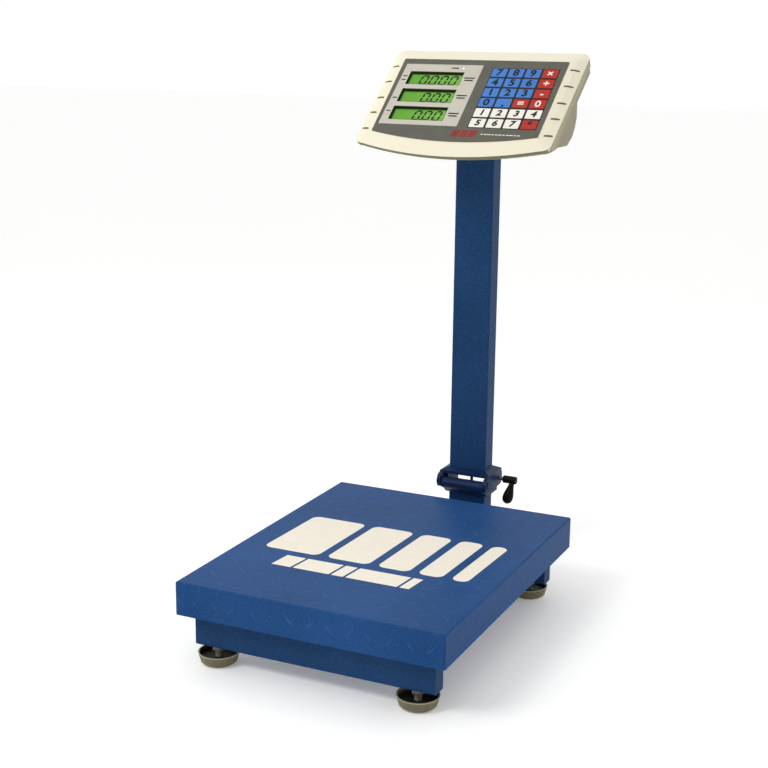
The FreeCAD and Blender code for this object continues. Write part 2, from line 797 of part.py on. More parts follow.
def battery_door():
    """The battery hatch cover, with a finger groove."""
    door = hatch_block(0, (rear_wall_y - shell_wall, rear_wall_y))
    groove_z = around(battery_floor + battery_height - 10, 8)
    groove = block(around(battery_x, 24), (rear_wall_y - 1.2, rear_wall_y), groove_z)
    return door.cut(rounded(groove, Vector(0, 1, 0), 3.5))


def battery():
    """The sealed battery, standing on its shelf, with its two tabs."""
    y_range = (rear_wall_y - shell_wall - 1 - battery_depth, rear_wall_y - shell_wall - 1)
    top = battery_floor + battery_height - 4
    body = block(around(battery_x, battery_width), y_range, (battery_floor, top))
    body = rounded(body, Vector(0, 0, 1), 2)
    for side in (-1, 1):
        tab = block(around(battery_x + side * 38, 5), around(y_range[0] + 16, 0.8), around(top, 6))
        body = body.fuse(tab)
    return body


def charge_socket():
    """The round low-voltage socket: a flanged barrel with a contact pin."""
    inner_face = rear_wall_y - shell_wall
    socket = rod_y(7, (inner_face - 12, rear_wall_y), socket_x, rocker_z)
    socket = socket.fuse(rod_y(9.5, (rear_wall_y, deck_y + rear_reach), socket_x, rocker_z))
    bore = rod_y(3.2, (inner_face - 9, deck_y + rear_reach), socket_x, rocker_z)
    contact = rod_y(1.0, (inner_face - 9, rear_wall_y), socket_x, rocker_z)
    return socket.cut(bore).fuse(contact).removeSplitter()


def switch_housing():
    """The bezel and box that hold the rocker."""
    height = 2 * rocker_half_height
    wall_gap = 6
    outer = block(
        around(rocker_x, rocker_width + wall_gap),
        (rear_wall_y - 16, rear_wall_y),
        around(rocker_z, height + wall_gap),
    )
    bezel = block(
        around(rocker_x, rocker_width + 10),
        (rear_wall_y, deck_y + rear_reach),
        around(rocker_z, height + 10),
    )
    well = block(
        around(rocker_x, rocker_width + 1),
        (rear_wall_y - 13.5, deck_y + rear_reach),
        around(rocker_z, height + 2),
    )
    housing = outer.fuse(rounded(bezel, Vector(0, 1, 0), 2)).cut(well)
    pivots = rod_x(rocker_pin_radius + shaft_gap, around(rocker_x, rocker_width + 4), rear_wall_y - 4.5, rocker_z)
    return housing.cut(pivots).removeSplitter()


def power_rocker():
    """The rocker with its two pivot pins, resting with its on side pressed."""
    pivot = rear_wall_y - 4.5
    outline = [
        (pivot - 4, rocker_z - 4),
        (pivot - 4, rocker_z + 4),
        (pivot + 4.8, rocker_z + rocker_half_height),
        (pivot + 4.0, rocker_z),
        (pivot + 4.8, rocker_z - rocker_half_height),
    ]
    rocker = prism_x(outline, around(rocker_x, rocker_width))
    rocker = rocker.fuse(rod_x(rocker_pin_radius, around(rocker_x, rocker_width + 3), pivot, rocker_z))
    rocker.rotate(Vector(rocker_x, pivot, rocker_z), Vector(1, 0, 0), rocker_rest_angle)
    return rocker


# ---------------------------------------------------------------- display and keypad
def lcd_modules():
    """Three identical display modules behind the windows."""
    modules = []
    top = -panel_sheet - shell_wall
    for line in range(3):
        y = window_first_y - line * window_pitch
        size_x = window_width + 2 * lcd_border
        size_y = window_height + 2 * lcd_border
        modules.append(block(around(window_x, size_x), around(y, size_y), (top - lcd_thickness, top)))
    return Part.makeCompound(modules)


def circuit_board():
    """The board behind the panel, with one push switch under each key."""
    top = -panel_sheet - shell_wall - lcd_thickness
    board = block((-128, 134), (-162, -4), (top - board_thickness, top))
    for row in range(len(KEY_NAMES)):
        for column in range(len(KEY_NAMES[row])):
            x, y = key_centre(row, column)
            board = board.fuse(block(around(x, 6), around(y, 6), (top, switch_dome_top - 1)))
            board = board.fuse(rod_z(1.8, (top, switch_dome_top), x, y))
    return board


def key(row, column):
    """One key: a cap through the panel and a flange that keeps it in."""
    x, y = key_centre(row, column)
    width = key_width - 2 * key_gap
    height = key_height - 2 * key_gap
    plate_floor = -panel_sheet - shell_wall
    flange_top = plate_floor - running_gap
    cap = block(around(x, width), around(y, height), (flange_top, key_proud))
    cap = rounded(cap, Vector(0, 0, 1), 1.2)
    flange = block(
        around(x, width + 2 * key_flange),
        around(y, height + 2 * key_flange),
        (flange_top - key_flange_thickness, flange_top),
    )
    return cap.fuse(flange)


def head_screws():
    """All the identical screws of the head: four in the case and four in the flange."""
    screws = []
    for x, z in case_screw_places():
        screws.append(pan_screw(x, rear_wall_y - screw_head_height, z, Vector(0, -1, 0)))
    for x, y in mount_screw_places():
        screws.append(pan_screw(x, y, pole_top, Vector(0, 0, 1)))
    return Part.makeCompound(screws)


# ---------------------------------------------------------------- write every node
save("front_beam", cross_beam(front_beam_y))
save("rear_beam", cross_beam(rear_beam_y))
save("base_spine", base_spine())
save("rear_arm", spine_tube((rear_beam_y + beam_thickness / 2, post_y + post_depth / 2)))
save("load_cell", load_cell())
save("cell_base_bolts", cell_bolts(1, spine_bottom + spine_height - spine_wall, cell_bottom + 14))
save("lower_post", upright_tube(post_y, (spine_bottom + spine_height, lower_post_top), post_wall))
save("hinge_base", hinge_base())
save("hinge_pin", hinge_pin())
save("foot_nuts", foot_nuts())

save("spider_front_arm", spider_arm(-1))
save("spider_rear_arm", spider_arm(1))
save("spider_spine", spider_spine())
save("cell_deck_bolts", cell_bolts(-1, spider_bottom + pan_sheet, cell_top - 14))
save("pan_pads", pan_pads())
save("platform_pan", platform_pan())

save("foot_front_left", foot(-foot_x, front_beam_y))
save("foot_front_right", foot(foot_x, front_beam_y))
save("foot_rear_left", foot(-foot_x, rear_beam_y))
save("foot_rear_right", foot(foot_x, rear_beam_y))

save("hinge_yoke", hinge_yoke())
save("pole_tube", upright_tube(post_y, (yoke_seat, pole_top), post_wall))
save("head_mount", head_mount())
save("crank_bolt", crank_bolt())
save("crank_handle", crank_handle())

save("head_front_shell", front_shell())
save("head_rear_shell", rear_shell())
save("face_panel", tilted(face_panel()))
save("lcd_modules", tilted(lcd_modules()))
save("circuit_board", tilted(circuit_board()))
save("battery", battery())
save("battery_door", battery_door())
save("charge_socket", charge_socket())
save("switch_housing", switch_housing())
save("power_rocker", power_rocker())
save("head_screws", head_screws())

for row_index, row_names in enumerate(KEY_NAMES):
    for column_index, key_name in enumerate(row_names):
        save(key_name, tilted(key(row_index, column_index)))
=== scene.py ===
import math

import bpy
import numpy as np
from mathutils import Matrix, Vector


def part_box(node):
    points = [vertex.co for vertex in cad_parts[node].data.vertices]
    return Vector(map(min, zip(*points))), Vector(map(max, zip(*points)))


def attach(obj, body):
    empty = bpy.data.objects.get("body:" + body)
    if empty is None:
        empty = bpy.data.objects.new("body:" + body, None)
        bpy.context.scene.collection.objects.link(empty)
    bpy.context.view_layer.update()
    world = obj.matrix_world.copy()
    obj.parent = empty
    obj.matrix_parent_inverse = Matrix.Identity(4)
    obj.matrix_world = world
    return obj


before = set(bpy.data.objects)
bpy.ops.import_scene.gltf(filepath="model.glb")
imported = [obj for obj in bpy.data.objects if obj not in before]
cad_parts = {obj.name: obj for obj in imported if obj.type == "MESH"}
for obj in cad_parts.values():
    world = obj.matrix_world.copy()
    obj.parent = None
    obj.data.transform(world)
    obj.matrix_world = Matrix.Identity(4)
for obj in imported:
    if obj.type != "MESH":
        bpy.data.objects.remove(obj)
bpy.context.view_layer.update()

# Platform shipping scale: painted deck and column, levelling feet, and a display head with a keypad.
# The frame brings every rigid part. This script gives the parts their finishes and adds the thin
# things that lie on them: printing, key legends, display figures, a status lamp and grip ribs.

MM = 0.001

# ---------------------------------------------------------------- driving dimensions, in metres
panel_tilt = math.radians(39.3)
panel_sheet = 0.8 * MM
window_centre_x = -70.8 * MM
window_first_y = -44.5 * MM
window_pitch = 39.9 * MM
window_width = 89.2 * MM
window_height = 28.4 * MM
glass_level = -3.3 * MM
key_first_x = 31.7 * MM
key_first_y = -28.2 * MM
key_pitch_x = 27.3 * MM
key_pitch_y = 22.4 * MM
key_top = 0.35 * MM
ink = 0.05 * MM                        # how far printing stands off what it is printed on
tread_pitch = 29.0 * MM
tread_shift = 7.0 * MM
tread_height = 0.3 * MM
skirt_middle_z = 95.0 * MM              # the tread on the deck's sides is centred on this height
digit_slant = 0.16
digit_pitch = 16.5 * MM
digit_width = 9.8 * MM
digit_height = 18.8 * MM
digit_stroke = 3.1 * MM

dim_side = 0.30                        # studio brightness in front of the scale
bright_side = 1.02                     # studio brightness behind it

KEY_ROWS = (
    ("key_7", "key_8", "key_9", "key_clear"),
    ("key_4", "key_5", "key_6", "key_add"),
    ("key_1", "key_2", "key_3", "key_tare"),
    ("key_0", "key_point", "key_store", "key_zero"),
    ("key_m1", "key_m2", "key_m3", "key_m4"),
    ("key_m5", "key_m6", "key_m7", "key_light"),
)

deck_low, deck_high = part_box("platform_pan")
panel_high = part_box("face_panel")[1]
deck_top = deck_high[2]
deck_centre_y = (deck_low[1] + deck_high[1]) / 2
panel_top = Vector((0, panel_high[1] - panel_sheet * math.sin(panel_tilt), panel_high[2]))
on_panel = Matrix.Translation(panel_top) @ Matrix.Rotation(panel_tilt, 4, "X")


# ---------------------------------------------------------------- shader maths
class Term:
    """A shader socket that Python's operators work on."""

    def __init__(self, finish, socket):
        self.finish = finish
        self.socket = socket

    def apply(self, operation, *others):
        inputs = dict(enumerate((self,) + others))
        return self.finish.value("ShaderNodeMath", {"operation": operation}, inputs)

    def __add__(self, other):
        return self.apply("ADD", other)

    __radd__ = __add__

    def __mul__(self, other):
        return self.apply("MULTIPLY", other)

    __rmul__ = __mul__

    def __sub__(self, other):
        return self.apply("SUBTRACT", other)

    def __rsub__(self, other):
        return (self * -1) + other

    def __truediv__(self, other):
        return self.apply("DIVIDE", other)

    def __pow__(self, other):
        return self.apply("POWER", other)

    def __abs__(self):
        return self.apply("ABSOLUTE")

    def floor(self):
        return self.apply("FLOOR")

    def at_least(self, other):
        return self.apply("MAXIMUM", other)

    def above(self, edge, softness):
        """0 below an edge and 1 above it, with a soft step between."""
        settings = {"interpolation_type": "SMOOTHSTEP"}
        inputs = {"Value": self, "From Min": edge - softness, "From Max": edge + softness}
        return self.finish.value("ShaderNodeMapRange", settings, inputs)

    def below(self, edge, softness):
        return 1 - self.above(edge, softness)

    def between(self, low, high, softness):
        """1 between two edges and 0 outside them."""
        return self.above(low, softness) * self.below(high, softness)


class Finish:
    """A material, the shader in it, and the nodes that vary it over a surface."""

    def __init__(self, name, metallic=0.0, coat=0.0, coat_roughness=0.1, specular=0.5):
        self.material = bpy.data.materials.new(name)
        self.material.use_nodes = True
        self.tree = self.material.node_tree
        self.tree.nodes.clear()
        self.shader = self.tree.nodes.new("ShaderNodeBsdfPrincipled")
        self.shader.inputs["Metallic"].default_value = metallic
        self.shader.inputs["Coat Weight"].default_value = coat
        self.shader.inputs["Coat Roughness"].default_value = coat_roughness
        self.shader.inputs["Specular IOR Level"].default_value = specular
        output = self.tree.nodes.new("ShaderNodeOutputMaterial")
        self.tree.links.new(self.shader.outputs[0], output.inputs["Surface"])
        coordinates = self.tree.nodes.new("ShaderNodeTexCoord")
        self.place = Term(self, coordinates.outputs["Object"])
        self.facing = Term(self, coordinates.outputs["Normal"])

    def node(self, kind, settings, inputs):
        """Add a node: its settings first, then the values or links of its sockets."""
        made = self.tree.nodes.new(kind)
        for name, value in settings.items():
            setattr(made, name, value)
        for name, value in inputs.items():
            if isinstance(value, Term):
                self.tree.links.new(value.socket, made.inputs[name])
            else:
                made.inputs[name].default_value = value
        return made

    def value(self, kind, settings, inputs, output=0):
        return Term(self, self.node(kind, settings, inputs).outputs[output])

    def axes(self, place=None):
        """The X, Y and Z of a vector as three terms."""
        split = self.node("ShaderNodeSeparateXYZ", {}, {0: place or self.place})
        return [Term(self, socket) for socket in split.outputs]

    def noise(self, scale, detail=2.0, roughness=0.5, place=None):
        inputs = {"Vector": place or self.place, "Scale": scale, "Detail": detail, "Roughness": roughness}
        return self.value("ShaderNodeTexNoise", {}, inputs)

    def cells(self, scale, place=None):
        inputs = {"Vector": place or self.place, "Scale": scale}
        return self.value("ShaderNodeTexVoronoi", {}, inputs)

    def stretched(self, x, y, z):
        """The object coordinates, squeezed or stretched along each axis."""
        settings = {"operation": "MULTIPLY"}
        return self.value("ShaderNodeVectorMath", settings, {0: self.place, 1: (x, y, z)})

    def blend(self, amount, first, second):
        """The first colour where the amount is 0 and the second where it is 1."""
        inputs = {0: amount, 6: first, 7: second}
        return self.value("ShaderNodeMix", {"data_type": "RGBA"}, inputs, output=2)

    def on_the_panel(self):
        """The three coordinates along, up and out of the tilted panel."""
        settings = {"vector_type": "TEXTURE"}
        inputs = {"Vector": self.place, "Location": tuple(panel_top), "Rotation": (panel_tilt, 0, 0)}
        return self.axes(self.value("ShaderNodeMapping", settings, inputs))

    def relief(self, height, depth, strength=1.0):
        """Bump from a height that runs from 0 to 1 over a depth in metres."""
        inputs = {"Height": height, "Strength": strength, "Distance": depth}
        self.set("Normal", self.value("ShaderNodeBump", {}, inputs))

    def set(self, name, value):
        if isinstance(value, Term):
            self.tree.links.new(value.socket, self.shader.inputs[name])
        else:
            self.shader.inputs[name].default_value = value


def colour(red, green, blue):
    """A screen colour from 0 to 255 as a linear colour."""
    channels = np.array([red, green, blue]) / 255
    linear = np.where(channels <= 0.04045, channels / 12.92, ((channels + 0.055) / 1.055) ** 2.4)
    return (*linear.tolist(), 1.0)


# ---------------------------------------------------------------- finishes
def orange_peel(finish):
    """Fine lumps of sprayed powder paint, with a slow wave under them."""
    return finish.noise(520, 2) * 0.6 + finish.noise(150, 2) * 0.4


def tread(finish, along, across):
    """Lens-shaped lugs on a square lattice, each turned a quarter from its neighbours."""
    column = (along - tread_shift) / tread_pitch + 0.5
    row = across / tread_pitch + 0.5
    parity = (column.floor() + row.floor()) / 2
    odd = (parity - parity.floor()).above(0.25, 0.01)
    x = column - column.floor() - 0.5
    y = row - row.floor() - 0.5
    diagonal = 0.7071
    rising = (x + y) * diagonal
    falling = (x - y) * diagonal
    length = rising + (falling - rising) * odd
    width = falling + (rising - falling) * odd
    bowed = width + length * length * 0.25
    taper = 0.075 - length * length * 0.42
    return (taper - abs(bowed)).above(0.02, 0.02)


def blue_paint(name, base, tread_height=0.0):
    """Blue powder coat, a little patchy, with pale specks of dust and painted highlights on the tread's
    raised lugs.
    """
    finish = Finish(name, specular=0.06)
    patches = finish.noise(9, 3)
    specks = finish.noise(700, 2).above(0.62, 0.06)
    peel = orange_peel(finish)
    deep = tuple(channel * 0.72 for channel in base[:3]) + (1.0,)
    light = tuple(min(1.0, channel * 1.25 + 0.012) for channel in base[:3]) + (1.0,)
    painted = finish.blend(patches, deep, light)
    painted = finish.blend(specks * 0.25, painted, colour(96, 138, 190))
    height = peel * 0.5
    depth = 0.00016
    if tread_height > 0:
        x, y, z = finish.axes()
        flat_x, _, flat_z = finish.axes(finish.facing)
        upward = abs(flat_z).above(0.5, 0.05)
        sideways = abs(flat_x).above(0.5, 0.05)
        rise = z - skirt_middle_z
        lugs_top = tread(finish, x, y - deck_centre_y)
        lugs_front = tread(finish, x, rise)
        lugs_side = tread(finish, y - deck_centre_y, rise)
        lugs_skirt = lugs_front + (lugs_side - lugs_front) * sideways
        lugs = lugs_skirt + (lugs_top - lugs_skirt) * upward
        # Lighter blue on the tread's raised lugs: painted highlight, where the lugs catch the light.
        lug_highlight = lugs * finish.noise(60, 2).above(0.45, 0.2)
        painted = finish.blend(lug_highlight * 0.09, painted, colour(120, 155, 200))
        height = height * (depth / tread_height) + lugs
        depth = tread_height
    finish.set("Base Color", painted)
    finish.set("Roughness", 0.36 + patches * 0.10 + peel * 0.10)
    finish.relief(height, depth)
    return finish.material


def cast_paint(name):
    """Thicker, darker paint over sand-cast metal."""
    finish = Finish(name, specular=0.14)
    sand = finish.noise(300, 4, 0.6)
    patches = finish.noise(25, 3)
    finish.set("Base Color", finish.blend(patches, colour(12, 34, 70), colour(22, 52, 96)))
    finish.set("Roughness", 0.30 + sand * 0.20)
    finish.relief(sand, 0.0004)
    return finish.material


def zinc(name, tone=(176, 178, 176), tint=(150, 146, 132)):
    """Zinc plate with cloudy crystals, faint brushing and dull patches."""
    finish = Finish(name, metallic=0.9)
    crystals = finish.cells(900)
    clouds = finish.noise(70, 3)
    brushed = finish.noise(260, 2, place=finish.stretched(1, 1, 14))
    finish.set("Base Color", finish.blend(clouds, colour(*tone), colour(*tint)))
    finish.set("Roughness", 0.28 + clouds * 0.18 + brushed * 0.10)
    finish.relief(brushed * 0.6 + crystals * 0.4, 0.00006)
    return finish.material


def foot_metal(name, centre):
    """Khaki-passivated pressed cup with a pale rim, a dark well and a zinc stud at its middle."""
    finish = Finish(name, metallic=0.35, specular=0.4)
    x, y, z = finish.axes()
    radius = ((x - centre[0]) ** 2 + (y - centre[1]) ** 2) ** 0.5
    clouds = finish.noise(90, 4)
    scuffs = finish.noise(420, 2, place=finish.stretched(1, 1, 6))
    cup = finish.blend(clouds, colour(88, 84, 62), colour(138, 132, 100))
    rim_radius = 26.8 * MM
    well_radius = 26.2 * MM
    stud_radius = 5.8 * MM
    rim = radius.above(rim_radius, 0.0004) * z.above(0.0152, 0.0006)
    well = radius.below(well_radius, 0.0004) * z.above(0.0078, 0.0004) * z.below(0.0150, 0.0008)
    stud = radius.below(stud_radius, 0.0002) * z.above(0.0092, 0.0003)
    shade = finish.blend(rim * 0.7, cup, colour(190, 186, 158))
    shade = finish.blend(well * 0.92, shade, colour(22, 18, 12))
    shade = finish.blend(stud, shade, finish.blend(clouds, colour(196, 194, 184), colour(150, 146, 130)))
    finish.set("Base Color", shade)
    finish.set("Roughness", 0.42 + clouds * 0.18 + scuffs * 0.08)
    finish.relief(clouds * 0.5 + scuffs * 0.5, 0.00012)
    return finish.material


def moulded_plastic(
    name, first, second, roughness=0.42, grain=900, depth=0.00005, specks=0.0, specular=0.22
):
    """Moulded plastic with a fine eroded grain and a slow change of tone."""
    finish = Finish(name, specular=specular)
    tone = finish.noise(12, 3)
    texture = finish.noise(grain, 3, 0.6)
    shade = finish.blend(tone, first, second)
    if specks > 0:
        flakes = finish.cells(1300).below(0.22, 0.06)
        shade = finish.blend(flakes * specks, shade, colour(255, 250, 236))
    finish.set("Base Color", shade)
    finish.set("Roughness", roughness + texture * 0.12 + tone * 0.05)
    finish.relief(texture, depth)
    return finish.material


def champagne_shell():
    """Pearly champagne plastic, with painted shade on its side walls and underside and painted shadow
    inside the key and window holes.
    """
    finish = Finish("head_front", specular=0.22)
    x, y, z = finish.on_the_panel()
    flat_x, _, flat_z = finish.axes(finish.facing)
    tone = finish.noise(12, 3)
    texture = finish.noise(900, 3, 0.6)
    flakes = finish.cells(1300).below(0.22, 0.06)
    shade = finish.blend(tone, colour(243, 235, 208), colour(250, 243, 221))
    shade = finish.blend(flakes * 0.35, shade, colour(255, 250, 236))
    # Faces turned sideways or downwards are coloured darker: painted shade.
    walls = (abs(flat_x).above(0.9, 0.05)).at_least(flat_z.below(-0.35, 0.1))
    shade = finish.blend(walls, shade, finish.blend(tone, colour(158, 151, 120), colour(180, 172, 140)))
    # Downward faces along the bottom edge are darker and more olive: painted shade.
    underside_shade = flat_z.below(-0.45, 0.1) * y.below(-0.150, 0.004)
    shade = finish.blend(underside_shade * 0.8, shade, colour(104, 108, 78))
    # The walls inside the key and window holes are near black: painted shadow in the recesses.
    field = x.between(-0.1366, 0.1366, 0.0003) * y.between(-0.1665, 0.0, 0.0003)
    holes = field * z.between(-0.0050, -0.0009, 0.0001)
    shade = finish.blend(holes, shade, colour(26, 30, 22))
    finish.set("Base Color", shade)
    finish.set("Roughness", 0.38 + texture * 0.12 + tone * 0.05)
    finish.relief(texture, 0.00005)
    return finish.material


def panel_print():
    """The printed overlay: grey field, pale display area, dark frames round windows and keys."""
    finish = Finish("panel_film", coat=0.05, coat_roughness=0.12, specular=0.2)
    x, y, _ = finish.on_the_panel()
    edge = 0.12 * MM
    tone = finish.noise(30, 3)
    grain = finish.noise(1500, 2)
    grey = finish.blend(tone, colour(86, 86, 77), colour(106, 104, 93))
    pale = finish.blend(tone, colour(196, 191, 176), colour(212, 207, 193))
    area_x = (-128.7 * MM, 1.0 * MM)
    area_y = (-149.3 * MM, -12.1 * MM)
    keys_x = (18.4 * MM, 127.0 * MM)
    keys_y = (-151.0 * MM, -17.4 * MM)
    area = x.between(*area_x, edge) * y.between(*area_y, edge)
    shade = finish.blend(area, grey, pale)
    keys = x.between(*keys_x, edge) * y.between(*keys_y, edge)
    shade = finish.blend(keys, shade, colour(34, 30, 30))
    half = window_width / 2 + 0.0008
    columns = x.between(window_centre_x - half, window_centre_x + half, edge)
    for line in range(3):
        middle = window_first_y - line * window_pitch
        rows = y.between(middle - window_height / 2 - 0.0006, middle + window_height / 2 + 0.0012, edge)
        shade = finish.blend(columns * rows, shade, colour(30, 38, 22))
    finish.set("Base Color", shade)
    finish.set("Roughness", 0.34 + grain * 0.10)
    finish.relief(grain, 0.00003)
    return finish.material


def display_glass():
    """Back-lit green display glass, brighter to the right, with painted shadow under its upper and left
    edges.
    """
    finish = Finish("display_glass", coat=0.05, coat_roughness=0.06, specular=0.25)
    x, y, _ = finish.on_the_panel()
    row = (y - window_first_y) / window_pitch + 0.5
    fall = (row - row.floor() - 0.5) * window_pitch
    across = (x - window_centre_x) / window_width + 0.5
    # Darker under the window's upper and left edges: painted shadow from the recess.
    upper = fall.above(window_height / 2 - 0.0030, 0.0016)
    left = across.below(0.034, 0.022)
    shadow = upper.at_least(left)
    glow = finish.blend(across + finish.noise(40, 2) * 0.2 - 0.1, colour(84, 150, 34), colour(112, 172, 62))
    shade = finish.blend(shadow * 0.92, glow, colour(18, 32, 8))
    finish.set("Base Color", shade)
    finish.set("Emission Color", shade)
    finish.set("Emission Strength", 0.22)
    finish.set("Roughness", 0.22 + finish.noise(900, 2) * 0.10)
    finish.relief(finish.noise(1200, 1), 0.00001)
    return finish.material


def printed_ink(name, first, second, roughness=0.5):
    """Screen-printed ink with small pinholes and uneven cover."""
    finish = Finish(name, specular=0.2)
    cover = finish.noise(60, 4)
    holes = finish.noise(1100, 2).above(0.66, 0.03)
    shade = finish.blend(cover, first, second)
    finish.set("Base Color", finish.blend(holes * 0.3, shade, colour(120, 118, 112)))
    finish.set("Roughness", roughness + cover * 0.1)
    finish.relief(finish.noise(800, 2), 0.00003)
    return finish.material


def glowing_lens():
    """A small milky lens that is lit from inside."""
    finish = Finish("lamp_lens", coat=0.6, coat_roughness=0.05)
    milk = finish.noise(800, 2)
    finish.set("Base Color", finish.blend(milk, colour(250, 250, 240), colour(228, 236, 228)))
    finish.set("Emission Color", colour(255, 255, 250))
    finish.set("Emission Strength", 0.5)
    finish.set("Roughness", 0.2 + milk * 0.1)
    return finish.material


def circuit_laminate():
    """Green solder mask with faint copper tracks under it."""
    finish = Finish("circuit_laminate", coat=0.5)
    tracks = finish.noise(240, 1, place=finish.stretched(1, 0.15, 0.15)).above(0.55, 0.02)
    finish.set("Base Color", finish.blend(tracks, colour(16, 74, 40), colour(40, 112, 62)))
    finish.set("Roughness", 0.3 + finish.noise(500, 2) * 0.2)
    finish.relief(tracks, 0.00004)
    return finish.material


# ---------------------------------------------------------------- meshes
def piece(name, points, faces, material, body, smooth=False):
    """A new mesh piece from arrays of points and faces, riding on a body."""
    mesh = bpy.data.meshes.new(name)
    mesh.from_pydata(np.asarray(points).tolist(), [], [list(face) for face in faces])
    mesh.polygons.foreach_set("use_smooth", [smooth] * len(mesh.polygons))
    mesh.materials.append(material)
    mesh.update()
    made = bpy.data.objects.new(name, mesh)
    bpy.context.scene.collection.objects.link(made)
    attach(made, body)


def placed(points, matrix):
    """Points carried by a matrix: turned by its rotation, then moved by its translation."""
    turn = np.array(matrix.to_3x3())
    return np.asarray(points, float) @ turn.T + np.array(matrix.translation)


def slab(outline, low, high):
    """A flat plate: an outline of (x, y) points repeated at a low and a high Z and closed all round."""
    outline = np.asarray(outline, float)
    count = len(outline)
    floor = np.column_stack([outline, np.full(count, low)])
    roof = np.column_stack([outline, np.full(count, high)])
    ring = np.arange(count)
    following = np.roll(ring, -1)
    walls = np.column_stack([ring, following, following + count, ring + count])
    faces = [tuple(ring[::-1]), tuple(ring + count)]
    faces += [tuple(wall) for wall in walls]
    return np.vstack([floor, roof]), faces


def joined(parts):
    """Several (points, faces) pairs as one, each face renumbered past the points before it."""
    points = []
    faces = []
    start = 0
    for part_points, part_faces in parts:
        points.append(part_points)
        faces.extend(tuple(int(index) + start for index in face) for face in part_faces)
        start += len(part_points)
    return np.vstack(points), faces


def bar(centre, size, slant=0.0, low=0.0, high=ink):
    """A plate with parallel sides: its upper edge is moved by slant times its height."""
    half_x = size[0] / 2
    half_y = size[1] / 2
    corners = np.array([(-half_x, -half_y), (half_x, -half_y), (half_x, half_y), (-half_x, half_y)])
    corners[:, 0] += corners[:, 1] * slant
    return slab(corners + np.array(centre), low, high)


def rounded_bar(centre, size, radius, slant=0.0, low=0.0, high=ink, steps=7):
    """A plate whose corners are quarter circles: corner centre plus radius times (cos a, sin a)."""
    angles = np.linspace(0, math.pi / 2, steps)
    quarter = np.column_stack([np.cos(angles), np.sin(angles)]) * radius
    corners = []
    for turn in range(4):
        cosine = round(math.cos(turn * math.pi / 2))
        sine = round(math.sin(turn * math.pi / 2))
        spin = np.array([[cosine, sine], [-sine, cosine]])
        middle = np.array([size[0] / 2 - radius, size[1] / 2 - radius])
        side = np.array([cosine - sine, cosine + sine])
        corners.append(quarter @ spin + middle * side)
    outline = np.vstack(corners)
    outline[:, 0] += outline[:, 1] * slant
    return slab(outline + np.array(centre), low, high)


def segment(start, end, width, low, high):
    """One stroke of a display digit: a bar with pointed ends between two points."""
    start = np.array(start)
    end = np.array(end)
    along = (end - start) / np.linalg.norm(end - start)
    across = np.array([-along[1], along[0]]) * width / 2
    nose = along * width / 2
    outline = [start - nose, start - across, end - across, end + nose, end + across, start + across]
    return slab(outline, low, high)


def display_digit(centre, width, height, stroke, low, high):
    """A zero of six strokes round a slanted rectangle."""
    x = width / 2
    y = height / 2
    gap = stroke * 0.62
    ends = (
        ((-x + gap, y), (x - gap, y)),
        ((-x + gap, -y), (x - gap, -y)),
        ((-x, gap), (-x, y - gap)),
        ((x, gap), (x, y - gap)),
        ((-x, -y + gap), (-x, -gap)),
        ((x, -y + gap), (x, -gap)),
    )
    strokes = []
    for start, end in ends:
        points, faces = segment(start, end, stroke, low, high)
        points[:, 0] += points[:, 1] * digit_slant
        strokes.append((points + np.array([centre[0], centre[1], 0]), faces))
    return strokes


def legend(name, text, size, centre, material, body, boldness, slant):
    """A number or sign from the plain built-in face, made a mesh and laid on a key."""
    curve = bpy.data.curves.new(name, "FONT")
    curve.body = text
    curve.size = size
    curve.align_x = "CENTER"
    curve.align_y = "CENTER"
    curve.extrude = ink / 2
    curve.offset = boldness
    curve.shear = slant
    curve.resolution_u = 4
    draft = bpy.data.objects.new(name + "_draft", curve)
    bpy.context.scene.collection.objects.link(draft)
    bpy.context.view_layer.update()
    mesh = bpy.data.meshes.new_from_object(draft.evaluated_get(bpy.context.evaluated_depsgraph_get()))
    bpy.data.objects.remove(draft)
    bpy.data.curves.remove(curve)
    mesh.name = name
    mesh.transform(on_panel @ Matrix.Translation((centre[0], centre[1], key_top + ink / 2 + 0.00002)))
    mesh.materials.clear()
    mesh.materials.append(material)
    made = bpy.data.objects.new(name, mesh)
    bpy.context.scene.collection.objects.link(made)
    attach(made, body)


def rib(path, width, height, steps=9):
    """A low ridge carried along a path of (x, z) points: half an ellipse across, tapering at the ends."""
    path = np.asarray(path, float)
    lengths = np.concatenate([[0], np.cumsum(np.linalg.norm(np.diff(path, axis=0), axis=1))])
    samples = np.linspace(0, lengths[-1], 2 * steps)
    x = np.interp(samples, lengths, path[:, 0])
    z = np.interp(samples, lengths, path[:, 1])
    fullness = np.sqrt(np.clip(1 - (2 * samples / lengths[-1] - 1) ** 6, 0.02, 1))
    angles = np.linspace(0, 2 * math.pi, steps + 3)[:-1]
    y_grid = np.cos(angles)[None, :] * (width / 2 * fullness)[:, None]
    z_grid = z[:, None] + np.sin(angles)[None, :] * (height * fullness)[:, None]
    x_grid = np.repeat(x[:, None], len(angles), axis=1)
    points = np.stack([x_grid, y_grid, z_grid], axis=-1).reshape(-1, 3)
    rows, columns = np.meshgrid(np.arange(len(x) - 1), np.arange(len(angles)), indexing="ij")
    following = (columns + 1) % len(angles)
    count = len(angles)
    here = rows * count
    ahead = (rows + 1) * count
    corners = [here + columns, here + following, ahead + following, ahead + columns]
    quads = np.stack(corners, axis=-1).reshape(-1, 4)
    first = tuple(range(count - 1, -1, -1))
    last = tuple(range((len(x) - 1) * count, len(x) * count))
    return points, [first, last] + [tuple(quad) for quad in quads]


